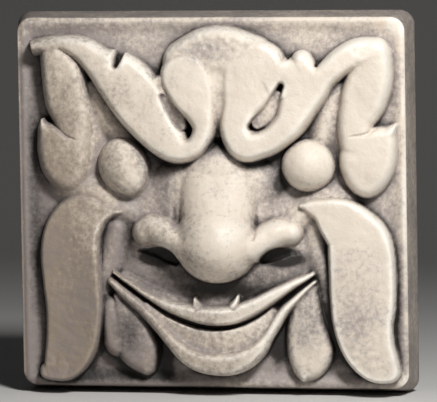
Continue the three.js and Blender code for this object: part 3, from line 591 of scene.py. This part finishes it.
def blurred(values, reach_mm):
    """A Gaussian blur of the samples, of a standard deviation given in mm."""
    sigma = reach_mm / SAMPLE_STEP
    span = np.arange(-int(BLUR_SPAN * sigma), int(BLUR_SPAN * sigma) + 1)
    kernel = np.exp(-span ** 2 / (2 * sigma ** 2))
    kernel /= kernel.sum()
    padded = np.pad(values, len(span) // 2, mode="edge")
    across = np.apply_along_axis(np.convolve, 1, padded, kernel, mode="valid")
    return np.apply_along_axis(np.convolve, 0, across, kernel, mode="valid")


def shelter(heights):
    """How shut in each sample is, from 0 in the open to 1 at the bottom of a slot: the mean, over some
    directions, of the sine of the steepest climb to be seen within the longest distance."""
    reach = int(DISTANCES[-1] / SAMPLE_STEP)
    padded = np.pad(heights, reach, mode="edge")
    total = np.zeros_like(heights)
    for angle in np.arange(DIRECTIONS) * math.tau / DIRECTIONS:
        climb = np.zeros_like(heights)
        for distance in DISTANCES:
            i = round(distance / SAMPLE_STEP * math.cos(angle))
            j = round(distance / SAMPLE_STEP * math.sin(angle))
            seen = padded[reach + j:reach + j + SAMPLES, reach + i:reach + i + SAMPLES]
            climb = np.maximum(climb, (seen - heights) / distance)
        total += climb / np.hypot(1, climb)
    return total / DIRECTIONS


def value_noise(x, z, size, seed):
    """Smooth noise from -1 to 1: random values on a square lattice of a given size in mm, eased
    between its corners by a cubic."""
    rng = np.random.default_rng(seed)
    lattice = rng.uniform(-1, 1, (LATTICE, LATTICE))
    u, v = x / size + LATTICE / 2, z / size + LATTICE / 2
    i, j = np.floor(u).astype(int), np.floor(v).astype(int)
    s, t = smooth_step(0, 1, u - i), smooth_step(0, 1, v - j)
    i, j = i % (LATTICE - 1), j % (LATTICE - 1)
    low = lattice[j, i] * (1 - s) + lattice[j, i + 1] * s
    high = lattice[j + 1, i] * (1 - s) + lattice[j + 1, i + 1] * s
    return low * (1 - t) + high * t


def octaves(x, z, parts):
    """The sum of some octaves of noise, each given as its amount, its size in mm and its seed."""
    return sum(amount * value_noise(x, z, size, seed) for amount, size, seed in parts)


def spot(x, z, place, halves):
    """A soft mask, 1 at a place and falling off as a Gaussian over half widths, all in shares."""
    across, up = (x / SHARE_X - place[0]) / halves[0], (z / SHARE_Z - place[1]) / halves[1]
    return np.exp(-across ** 2 - up ** 2)


def patched(values, x, z, patches, weight=1.0):
    """Values with soft patches added, each given as its place, its half widths and its amount."""
    for place, halves, amount in patches:
        values = values + amount * spot(x, z, place, halves) * weight
    return values


def handwork(x, z, h):
    """The unevenness of a hand-modelled and cast surface: octaves of smooth noise on what stands
    proud, and a finer one everywhere."""
    proud = smooth_step(PROUD_FROM, PROUD_TO, h)
    return octaves(x, z, PROUD_WORK) * proud + octaves(x, z, FINE_WORK)


# What the years and the casting left, and the light and shade painted on the stone. Patches are each a
# place, half widths and an amount: where the stone is rough, in mm, where painted shade lies over the
# thickest wash in the low corners, where the stone is darkened, partly as painted shade, and where it
# is painted pale, as wear and as a highlight. The pits have their radius and depth in mm.
ROUGH_PLACES = [
    ([-4, 86], [16, 6], 0.5), ([16, 84], [10, 7], 0.35), ([5, 68], [5, 14], 0.3),
    ([-22, 79], [5, 4], 0.3), ([80, -84], [14, 9], 0.4), ([-80, -88], [8, 5], 0.4),
    ([-28, -63], [9, 5], 0.4), ([0, -80], [22, 4], 0.35), ([46, -88], [6, 7], 0.45),
    ([-34, -84], [7, 7], 0.25), ([-38, -4], [9, 6], 0.3), ([50, 6], [9, 5], 0.3)]
PITS = [
    ([-51, 75], 0.8, 0.8), ([-50.5, 70.5], 0.9, 0.7), ([-52, 73], 0.6, 0.5), ([76, 75], 0.9, 0.8),
    ([75, 82], 0.8, 0.6), ([77.5, 81], 0.7, 0.7), ([-8, -73], 1.2, 1.0), ([4, -72], 1.1, 0.9),
    ([10, -75], 1.2, 0.9), ([-44, 12], 0.9, 0.6), ([88, -60], 0.8, 0.6), ([-72, -20], 0.7, 0.5),
    ([64, 86], 0.8, 0.5), ([20, 62], 0.7, 0.5), ([-16, 62], 0.7, 0.4), ([12, -24], 0.6, 0.4)]
# Painted shade over the thickest wash: in the nostrils, under the nose and on the muzzle, beside the
# chin, in the mouth, under the locks, beside the bridge and on the left cheek.
SHADED_CORNERS = [
    ([-28, -30], [9, 3.5], 1.8), ([36, -30], [9, 3.5], 1.8), ([36, 10], [4, 6], 0.6),
    ([-26, -86], [4.5, 10], 0.8), ([33, -80], [4, 10], 0.7), ([3, -47], [26, 5], 0.6),
    ([-24, -38], [14, 7], 0.4), ([28, -38], [14, 7], 0.25), ([-14, 22], [14, 5], 0.4),
    ([20, 22], [14, 5], 0.4), ([-24, 8], [6, 14], 0.35), ([30, 6], [6, 14], 0.35),
    ([3, -72], [20, 4.5], 0.45), ([-44, -20], [5, 14], 0.35), ([0, -38], [20, 8], 0.35)]
# Places darkened: painted shade on the left strip of the field, along the bottom, under the locks and
# under the eyes, and darker grey on the crest, the whiskers, the beard leaves and along the top; one
# patch lightens the shade in the slot beside the left ear.
DARKENED_PLACES = [
    ([5, 84], [24, 9], 0.62), ([76, -55], [22, 42], 0.54), ([-43, -72], [12, 22], 0.72),
    ([48, -66], [12, 24], 0.38), ([-74, -60], [20, 45], 0.34), ([-94, 10], [8, 80], 0.55),
    ([-50, -97], [60, 6], 0.5), ([-20, 96], [50, 5], 0.05), ([-44, -12], [8, 22], 0.1),
    ([-60, 36], [9, 14], -0.3), ([4, 30], [8, 6], 0.3), ([52, 14], [10, 8], 0.15)]
# Pale places: wear at the corners, at the lock tips and along the side edges, and a painted highlight on
# the nose tip, towards the key light.
WORN_AND_HIGHLIT = [
    ([97, 96], [7, 5], 2.5), ([99, -96], [3, 5], 2.5), ([-91, 84], [4, 7], 2.0), ([77, 81], [5, 4], 1.2),
    ([-99, 0], [1.5, 90], 1.0), ([99.5, 0], [1.2, 90], 1.5), ([11, -17], [8, 8], 0.8)]
SCRATCHES = [
    [[-46.2, 61, 0.5], [-42, 64, 0.6], [-38.2, 65.2, 0.4]],
    [[-45, 57, 0.4], [-41, 59.5, 0.5], [-39, 60, 0.3]],
    [[-57, -22, 0.5], [-54, -30, 0.6], [-57, -37, 0.4]],
    [[-60, -26, 0.4], [-57.5, -33, 0.5], [-59, -40, 0.4]],
    [[70, -60, 0.4], [74, -74, 0.5], [75, -80, 0.3]]]


def scarred(h, x, z):
    """Roughens, pits and scratches a surface. A pit is a Gaussian dent."""
    h = h + patched(0.0, x, z, ROUGH_PLACES) * (octaves(x, z, ROUGH_WORK) - ROUGH_SINK)
    for place, radius, depth in PITS:
        h = h - depth * spot(x, z, place, [radius / SHARE_X, radius / SHARE_Z])
    for scratch in SCRATCHES:
        h = groove(h, x, z, SCRATCH_DEPTH, scratch)
    return h


def front_surface(x, z):
    """The carved front with its handwork and rounded arris, in mm over the rim's plane. The arris
    falls with the square of how far a point lies into its rounding."""
    inset = -smooth_max(abs(x) - FRONT_WIDTH / 2, abs(z) - FRONT_HEIGHT / 2, ARRIS_BLEND)
    rounding = ARRIS_ROUNDING * (1 + LEFT_WEAR * smooth_step(LEFT_START, 1.0, -2 * x / FRONT_WIDTH))
    fall = np.clip(1 - inset / rounding, 0, 1) ** 2 * rounding * ARRIS_FALL
    base = relief(x, z)
    worked = base + handwork(x, z, base) * smooth_step(0, HANDWORK_FADE, inset)
    return scarred(worked, x, z) - fall


def rim_of(grid):
    """The outer line of a grid, once round, anticlockwise as seen from the front."""
    return np.concatenate([grid[0, :-1], grid[:-1, -1], grid[-1, :0:-1], grid[:0:-1, 0]])


def wall_rings():
    """The rings behind the front, each as its depth, how far out it stands and its share of that
    size. They run down the flared walls, round the back's edge and in over the flat back."""
    first = -THICKNESS + FIRST_RING
    rings = [(first, FIRST_OUT, 1.0)]
    for share in np.linspace(0, 1, WALL_RINGS + 1)[1:]:
        y = first + (THICKNESS - FIRST_RING - BACK_ROUNDING) * share
        rings.append((y, FLARE * (1 - (-y - BACK_ROUNDING) / THICKNESS), 1.0))
    for degrees in EDGE_TURNS:
        turn = math.radians(degrees)
        out = FLARE - BACK_ROUNDING * (1 - math.cos(turn))
        rings.append((-BACK_ROUNDING * (1 - math.sin(turn)), out, 1.0))
    return rings + [(0.0, FLARE - BACK_ROUNDING, share) for share in BACK_SHARES]


def ring_points(rim, y, out, share):
    """The rim's outline set at a depth, grown outwards by a distance and shrunk to a share."""
    across = rim[:, 0] * (1 + 2 * out / FRONT_WIDTH) * share
    up = rim[:, 2] * (1 + 2 * out / FRONT_HEIGHT) * share
    return np.column_stack([across, np.full(len(rim), y), up])


def grid_faces(index):
    """The four-sided faces between the lines of a grid of point numbers."""
    return np.stack([index[:-1, :-1], index[:-1, 1:], index[1:, 1:], index[1:, :-1]], -1).reshape(-1, 4)


def casting_faces(index, ring_count):
    """The faces of the front, those between one ring and the next, and a fan that closes the back."""
    faces = [grid_faces(index)]
    previous, start = rim_of(index), index.size
    for _ in range(ring_count):
        following = start + np.arange(len(previous))
        faces.append(np.stack([previous, following, np.roll(following, -1), np.roll(previous, -1)], -1))
        previous, start = following, start + len(previous)
    fan = np.stack([previous, np.full(len(previous), start), np.roll(previous, -1)], -1)
    return np.vstack(faces).tolist() + fan.tolist()


def smooth_mesh(name, points, faces):
    """A smooth-shaded mesh of points in metres."""
    mesh = bpy.data.meshes.new(name)
    mesh.from_pydata(points.tolist(), [], faces)
    mesh.polygons.foreach_set("use_smooth", np.ones(len(mesh.polygons), bool))
    return mesh


def tile_mesh():
    """The whole casting as one closed mesh: the relaxed grid of the front, and the rings of the walls
    and the back. Each point keeps how shut in it is, how hollow and how high, for the stone."""
    lattice = np.linspace(-0.5, 0.5, SAMPLES)
    sample_x, sample_z = np.meshgrid(lattice * FRONT_WIDTH, lattice * FRONT_HEIGHT)
    heights = relief(sample_x, sample_z)
    slope = np.hypot(*np.gradient(heights, SAMPLE_STEP))
    plan = carved_plan(1 + CROWDING * np.minimum(blurred(slope, SLOPE_BLUR), STEEPEST))
    x, z = plan[..., 0], plan[..., 1]
    h = front_surface(x, z)
    front = np.stack([x, -THICKNESS - h, z], -1)

    rim, rings = rim_of(front), wall_rings()
    loops = [ring_points(rim, *ring) for ring in rings]
    points = np.vstack([front.reshape(-1, 3), *loops, [[0, 0, 0]]])
    points[:, 0] -= LEAN * points[:, 2] / FRONT_HEIGHT
    faces = casting_faces(np.arange(h.size).reshape(h.shape), len(rings))
    mesh = smooth_mesh("mask_tile_stone", points * MM, faces)

    # Painted shade: the shaded corners add to how shut in a low place is, and the darkened places add
    # painted shade and darker grey.
    low = smooth_step(SHADE_FROM, SHADE_TO, heights)
    shut_in = patched(shelter(heights), sample_x, sample_z, SHADED_CORNERS, low)
    shut_in = patched(shut_in, sample_x, sample_z, DARKENED_PLACES)
    # The worn places and the painted highlight on the nose tip count as proud, which paints them pale.
    hollow = patched(blurred(heights, HOLLOW_BLUR) - heights, sample_x, sample_z, WORN_AND_HIGHLIT, -1.0)
    behind = len(points) - h.size
    store(mesh, "shelter", np.append(sampled(shut_in, x, z).ravel(), np.zeros(behind)))
    store(mesh, "hollow", np.append(sampled(hollow, x, z).ravel(), np.zeros(behind)))
    # The walls and the back take the wall foot's height, which paints shade on the walls.
    store(mesh, "height", np.append(h.ravel(), np.full(behind, WALL_FOOT)))
    mesh.update()
    return mesh


def store(mesh, name, values):
    """Keeps one number for each point of a mesh, for the materials to read."""
    attribute = mesh.attributes.new(name, "FLOAT", "POINT")
    attribute.data.foreach_set("value", np.asarray(values, np.float32))


class Nodes:
    """A short way to add nodes to a tree and join them."""

    def __init__(self, tree):
        self.tree = tree

    def add(self, kind, **settings):
        node = self.tree.nodes.new(kind)
        for name, value in settings.items():
            setattr(node, name, value)
        return node

    def join(self, source, target):
        self.tree.links.new(source, target)

    def put(self, node, socket, value):
        """Joins a socket's value from another node's output, or sets it as it is."""
        if isinstance(value, bpy.types.NodeSocket):
            self.join(value, node.inputs[socket])
        else:
            node.inputs[socket].default_value = value

    def math(self, operation, a, b=0.0):
        node = self.add("ShaderNodeMath", operation=operation)
        self.put(node, 0, a)
        self.put(node, 1, b)
        return node.outputs[0]

    def total(self, *terms):
        """The sum of some values, each times its weight."""
        so_far = None
        for value, weight in terms:
            part = value if weight == 1 else self.math("MULTIPLY", value, weight)
            so_far = part if so_far is None else self.math("ADD", so_far, part)
        return so_far

    def ease(self, value, low, high, bottom=0.0, top=1.0):
        """A smooth step of a value from low to high, put out between bottom and top."""
        node = self.add("ShaderNodeMapRange", interpolation_type="SMOOTHSTEP")
        for socket, number in (("Value", value), ("From Min", low), ("From Max", high),
                               ("To Min", bottom), ("To Max", top)):
            self.put(node, socket, number)
        return node.outputs[0]

    def noise(self, vector, scale, detail, roughness):
        node = self.add("ShaderNodeTexNoise")
        for socket, value in (("Vector", vector), ("Scale", scale), ("Detail", detail),
                              ("Roughness", roughness)):
            self.put(node, socket, value)
        return node.outputs[0]

    def attribute(self, name):
        return self.add("ShaderNodeAttribute", attribute_name=name).outputs["Fac"]

    def mix(self, factor, a, b):
        node = self.add("ShaderNodeMix", data_type="RGBA")
        self.put(node, 0, factor)
        self.put(node, 6, a)
        self.put(node, 7, b)
        return node.outputs[2]


STONE = (0.68, 0.595, 0.50, 1)
PALE_STONE = (0.84, 0.785, 0.70, 1)
# A grey-brown for the wash, for painted shade and for specks.
WASH_SHADE_GREY = (0.25, 0.215, 0.208, 1)
# Nearly black, for painted shadow in the deepest cracks and on the walls.
SHADOW_BLACK = (0.012, 0.009, 0.007, 1)
# Brown, which the stone takes on towards the lower left.
LOWER_LEFT_BROWN = (0.26, 0.20, 0.145, 1)
RUST = (0.50, 0.30, 0.17, 1)

# Textures, each as its scale to a metre, its detail and its roughness. Patches and specks are taken
# from their middle value, and make up the mottle by these weights.
PATCHES = (60.0, 5.0, 0.55)
SPECKS = (420.0, 4.0, 0.65)
GRAIN = (1400.0, 3.0, 0.6)
STAINS = (38.0, 3.0, 0.55)
MIDDLE = 0.5
PATCH_WEIGHT = 0.9
SPECK_WEIGHT = 1.3

# The weights of what colours the stone: how shut and how hollow a place is, how much a hollow holds back
# the wear and painted highlight, the mottle in the painted deep shadow, the patches in the speckle, and a
# metre across and up.
SHUT_WEIGHT = 1.05
HOLLOW_WEIGHT = 0.08
WEAR_HIGHLIGHT_WEIGHT = -0.5
DEEP_MOTTLE = 0.3
SPECKLE_PATCHES = 0.5
ACROSS_WEIGHT = -11.0
UP_WEIGHT = -5.5

# Smooth steps of the stone's colour and finish, each from a low value to a high one, put out between
# a bottom and a top.
LOW_RELIEF = (5.0, -1.5, 0.0, 0.28)
# painted shade on the side walls, which carry the wall foot's height
WALL_SHADE_STEP = (-2.9, -3.6, 0.0, 0.5)
LOWER_LEFT = (-1.2, 0.6, -0.2, 0.08)
WASH_AND_SHADE_STEP = (0.1, 0.95, 0.0, 0.85)
# painted nearly black shadow in the most shut-in places
DEEP_SHADOW_STEP = (0.62, 1.15)
# painted shadow on the side walls
WALL_SHADOW_STEP = (-2.9, -3.6, 0.0, 0.3)
WEAR_HIGHLIGHT_STEP = (-0.1, 1.0)
BROWNED = (-0.1, 1.0, 0.0, 0.9)
STAINED = (0.62, 0.78, 0.0, 0.3)
SPECKLED = (0.0, 0.3, 0.0, 0.14)
FINISH = (-0.3, 1.2, 0.62, 0.42)

# The fine grain stands up by so much, in metres.
BUMP_DISTANCE = 0.0005
BUMP_STRENGTH = 0.6
GRAIN_BUMP = 0.3


def new_material(name):
    """A new material, with a helper for its nodes and its shader."""
    material = bpy.data.materials.new(name)
    material.use_nodes = True
    return material, Nodes(material.node_tree), material.node_tree.nodes["Principled BSDF"]


def stone_material():
    """Cream cast stone: paler in a random mottle and on its proud edges as wear, with a painted highlight
    on the nose tip; a mottled grey-brown wash in the lows, with painted shade in the shut-in places and
    on the walls; a nearly black painted shadow in the deep cracks; browner towards the lower left, with a
    fine grain."""
    material, n, shader = new_material("cast_stone")
    place = n.add("ShaderNodeTexCoord").outputs["Object"]
    shut_in, hollow, height = n.attribute("shelter"), n.attribute("hollow"), n.attribute("height")
    patches = n.math("SUBTRACT", n.noise(place, *PATCHES), MIDDLE)
    specks = n.math("SUBTRACT", n.noise(place, *SPECKS), MIDDLE)
    grain = n.noise(place, *GRAIN)
    mottle = n.total((patches, PATCH_WEIGHT), (specks, SPECK_WEIGHT))

    apart = n.add("ShaderNodeSeparateXYZ")
    n.join(place, apart.inputs[0])
    towards = n.total((apart.outputs["X"], ACROSS_WEIGHT), (apart.outputs["Z"], UP_WEIGHT))
    # The low field takes the wash as patina, the side walls take it as painted shade, and less of it lies
    # towards the upper right.
    low = n.total((n.ease(height, *LOW_RELIEF), 1), (n.ease(height, *WALL_SHADE_STEP), 1),
                  (n.ease(towards, *LOWER_LEFT), 1))
    closed = n.total((shut_in, SHUT_WEIGHT), (hollow, HOLLOW_WEIGHT))
    # The wash grey: patina in the low field, and painted shade where a place is shut in, in the shaded
    # corners, in the darkened places and on the walls.
    wash_and_shade = n.ease(n.total((closed, 1), (low, 1), (mottle, 1)), *WASH_AND_SHADE_STEP)
    # Painted shadow, nearly black, in the most shut-in cracks and partly on the walls.
    deep_shadow = n.total((n.ease(n.total((closed, 1), (mottle, DEEP_MOTTLE)), *DEEP_SHADOW_STEP), 1),
                   (n.ease(height, *WALL_SHADOW_STEP), 1))
    # Paler where the mottle is high and the surface proud, as wear, and at the nose tip as a painted
    # highlight.
    wear_and_highlight = n.ease(n.total((hollow, WEAR_HIGHLIGHT_WEIGHT), (mottle, 1)), *WEAR_HIGHLIGHT_STEP)
    brown = n.ease(n.total((towards, 1), (mottle, 1)), *BROWNED)
    stained = n.ease(n.noise(place, *STAINS), *STAINED)
    speckled = n.ease(n.total((specks, 1), (patches, SPECKLE_PATCHES)), *SPECKLED)

    colour = n.mix(wear_and_highlight, STONE, PALE_STONE)
    colour = n.mix(stained, colour, RUST)
    colour = n.mix(brown, colour, LOWER_LEFT_BROWN)
    colour = n.mix(wash_and_shade, colour, WASH_SHADE_GREY)
    colour = n.mix(speckled, colour, WASH_SHADE_GREY)
    colour = n.mix(deep_shadow, colour, SHADOW_BLACK)
    n.join(colour, shader.inputs["Base Color"])
    n.join(n.ease(n.total((wear_and_highlight, 1), (mottle, 1)), *FINISH), shader.inputs["Roughness"])

    bump = n.add("ShaderNodeBump")
    n.put(bump, "Distance", BUMP_DISTANCE)
    n.put(bump, "Strength", BUMP_STRENGTH)
    n.put(bump, "Height", n.total((specks, 1), (grain, GRAIN_BUMP)))
    n.join(bump.outputs[0], shader.inputs["Normal"])
    return material


def dress_tile():
    """The carved casting, which stands for the construction's solid."""
    tile = bpy.data.objects.new("mask_tile_carved", tile_mesh())
    bpy.context.scene.collection.objects.link(tile)
    tile.data.materials.append(stone_material())
    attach(tile, "root")
    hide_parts("mask_tile")


# The floor, in metres: its half width, where it starts in front, how long its run is, where it bends
# up and with what radius, its numbers of points, and its colours.
FLOOR_HALF = 3.0
FLOOR_FRONT = -2.0
FLOOR_RUN = 4.2
BEND_START = 1.0
BEND_RADIUS = 1.2
FLOOR_POINTS = (41, 61)
FLOOR_DIM = (0.60, 0.59, 0.57, 1)
FLOOR_PALE = (0.66, 0.65, 0.63, 1)
FLOOR_CLOUD = (3.0, 3.0, 0.55)
FLOOR_ROUGHNESS = 0.8


def make_floor():
    """A plain pale floor under the tile's lower edge. Behind, it curves up into a backdrop as a
    quarter of a circle."""
    u = np.linspace(-1, 1, FLOOR_POINTS[0])[:, None]
    run = np.linspace(0, 1, FLOOR_POINTS[1])[None, :]
    depth = FLOOR_FRONT + FLOOR_RUN * run
    turn = np.clip((depth - BEND_START) / BEND_RADIUS, 0, 1) * math.pi / 2
    y = np.where(depth < BEND_START, depth, BEND_START + BEND_RADIUS * np.sin(turn)) + 0 * u
    rise = np.where(depth < BEND_START, 0.0, BEND_RADIUS * (1 - np.cos(turn)))
    z = cad_box[0].z + rise + 0 * u
    x = FLOOR_HALF * u + 0 * run
    points = np.stack([x, y, z], -1).reshape(-1, 3)
    index = np.arange(len(points)).reshape(x.shape)
    mesh = smooth_mesh("studio_floor", points, grid_faces(index.T).tolist())
    floor = bpy.data.objects.new("studio_floor", mesh)
    bpy.context.scene.collection.objects.link(floor)
    material, n, shader = new_material("pale_floor")
    cloud = n.noise(n.add("ShaderNodeTexCoord").outputs["Object"], *FLOOR_CLOUD)
    n.join(n.mix(cloud, FLOOR_DIM, FLOOR_PALE), shader.inputs["Base Color"])
    n.put(shader, "Roughness", FLOOR_ROUGHNESS)
    floor.data.materials.append(material)


def aim(thing, place, target):
    """Puts a lamp or the camera at a place and turns it towards a target."""
    thing.location = place
    thing.rotation_mode = "QUATERNION"
    thing.rotation_quaternion = (Vector(target) - Vector(place)).to_track_quat("-Z", "Y")
    bpy.context.scene.collection.objects.link(thing)


# The lights: each one's place and size in metres, its power in watts and its colour, and the surround.
KEY_LIGHT = ((0.27, -0.56, 0.45), 0.14, 6.5, (1.0, 0.995, 0.985))
FILL_LIGHT = ((-0.5, -1.5, 0.1), 0.9, 0.25, (0.95, 0.97, 1.0))
SURROUND = (0.75, 0.76, 0.78, 1)
SURROUND_STRENGTH = 0.035


def soft_light(name, place, size, watts, colour):
    """A square soft box that looks at the tile."""
    lamp = bpy.data.lights.new(name, "AREA")
    lamp.size = size
    lamp.energy = watts
    lamp.color = colour
    aim(bpy.data.objects.new(name, lamp), place, (0, -THICKNESS * MM, 0))


def light_studio():
    """A soft key from the upper right, a weak fill from the left, and a pale grey surround."""
    soft_light("key_light", *KEY_LIGHT)
    soft_light("fill_light", *FILL_LIGHT)
    world = bpy.data.worlds.new("surround")
    world.use_nodes = True
    background = world.node_tree.nodes["Background"]
    background.inputs["Color"].default_value = SURROUND
    background.inputs["Strength"].default_value = SURROUND_STRENGTH
    bpy.context.scene.world = world
    bpy.context.scene.view_settings.view_transform = "Standard"


# The camera: a long lens, a little to the right of square on and a little above.
CAMERA_TURN = 6.5
CAMERA_RISE = 2.5
CAMERA_DISTANCE = 1.2
CAMERA_TARGET = (3.35 * MM, -THICKNESS * MM, 0.75 * MM)
CAMERA_LENS = 200.7
SENSOR_WIDTH = 36.0
CAMERA_END = 20


def make_camera():
    """The camera, at its distance from the target along a line turned and raised by its angles."""
    camera = bpy.data.cameras.new("camera")
    camera.lens = CAMERA_LENS
    camera.sensor_width = SENSOR_WIDTH
    camera.clip_end = CAMERA_END
    turn, rise = math.radians(CAMERA_TURN), math.radians(CAMERA_RISE)
    back = Vector((math.sin(turn) * math.cos(rise), -math.cos(turn) * math.cos(rise), math.sin(rise)))
    seat = bpy.data.objects.new("camera", camera)
    aim(seat, Vector(CAMERA_TARGET) + CAMERA_DISTANCE * back, CAMERA_TARGET)
    bpy.context.scene.camera = seat


make_camera()
dress_tile()
make_floor()
light_studio()
